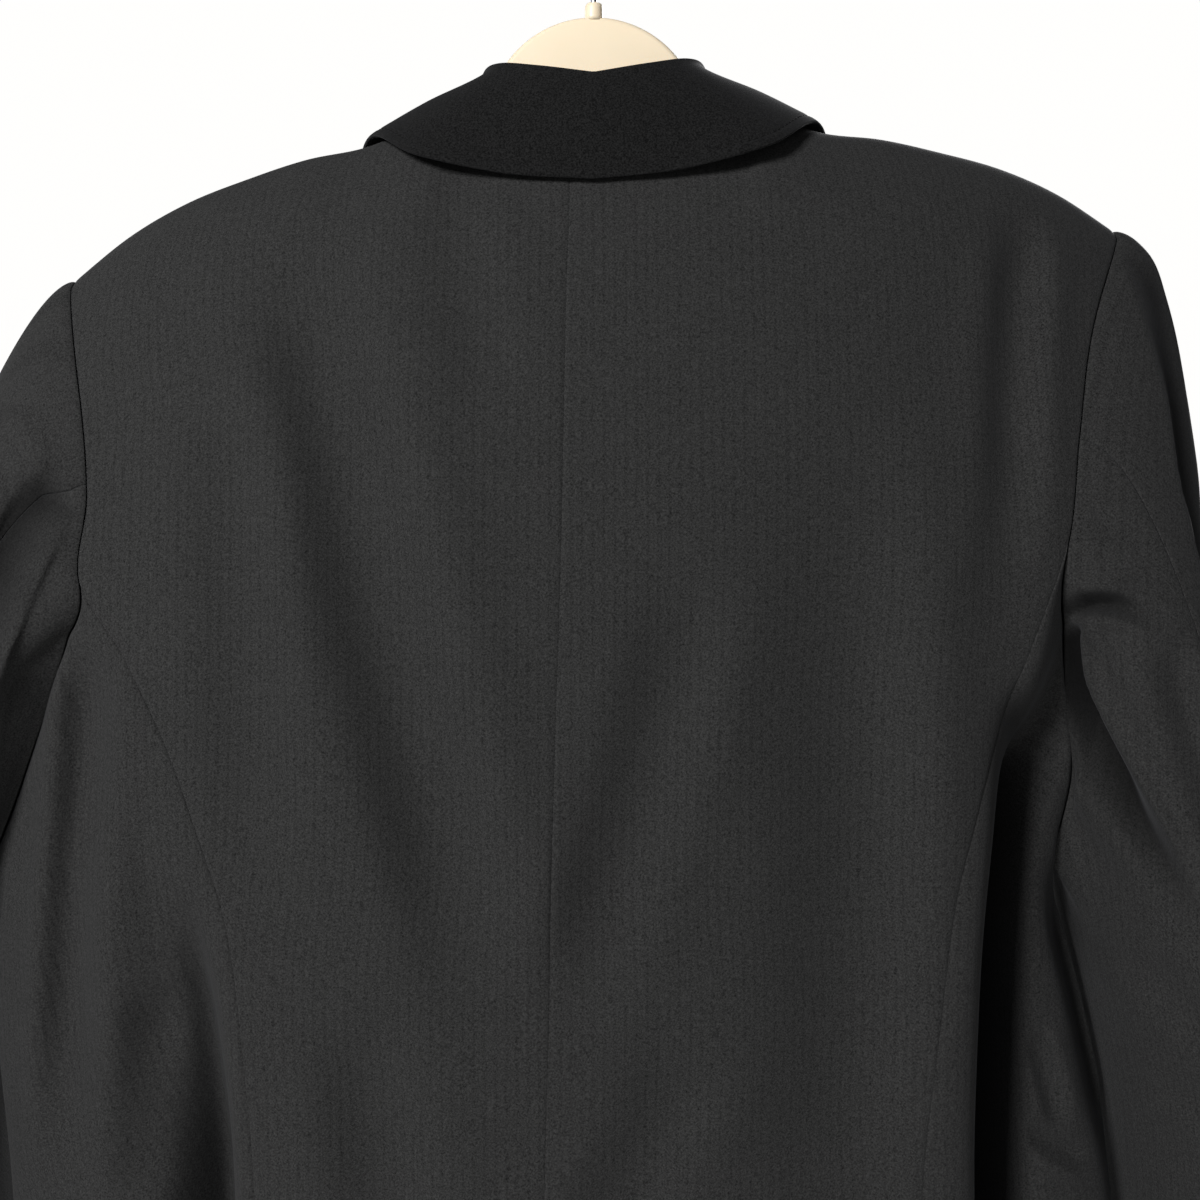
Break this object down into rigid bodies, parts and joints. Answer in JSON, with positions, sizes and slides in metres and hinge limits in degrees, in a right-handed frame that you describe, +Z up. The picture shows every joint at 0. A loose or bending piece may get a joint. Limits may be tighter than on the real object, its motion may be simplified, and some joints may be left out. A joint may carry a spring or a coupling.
{
  "type": "blazer on hanger",
  "caption": "Black tailored blazer with notched lapels, buttoned and hung on a plastic coat hanger with a wire hook.",
  "frame": {"origin": "where a rail bears inside the top of the hanger's hook", "axes": "+Z up, the garment's front faces -Y, +X to the garment's own left"},
  "size_m": [0.6596, 0.186, 0.8842],
  "materials": {
    "wool_cloth": "matt black wool twill with a faint self stripe",
    "button_plastic": "satin",
    "hanger_plastic": "smooth, pale peach",
    "hook_wire": "bright zinc wire"
  },
  "bodies": {
    "root": {"back_left": "wool_cloth", "side_left": "wool_cloth", "front_left": "wool_cloth", "topsleeve_left": "wool_cloth", "undersleeve_left": "wool_cloth", "lapel_left": "wool_cloth", "back_right": "wool_cloth", "side_right": "wool_cloth", "front_right": "wool_cloth", "topsleeve_right": "wool_cloth", "undersleeve_right": "wool_cloth", "lapel_right": "wool_cloth", "collar": "wool_cloth", "button_1": "button_plastic", "button_2": "button_plastic", "button_3": "button_plastic", "hanger": "hanger_plastic", "hook": "hook_wire"}
  },
  "joints": []
}
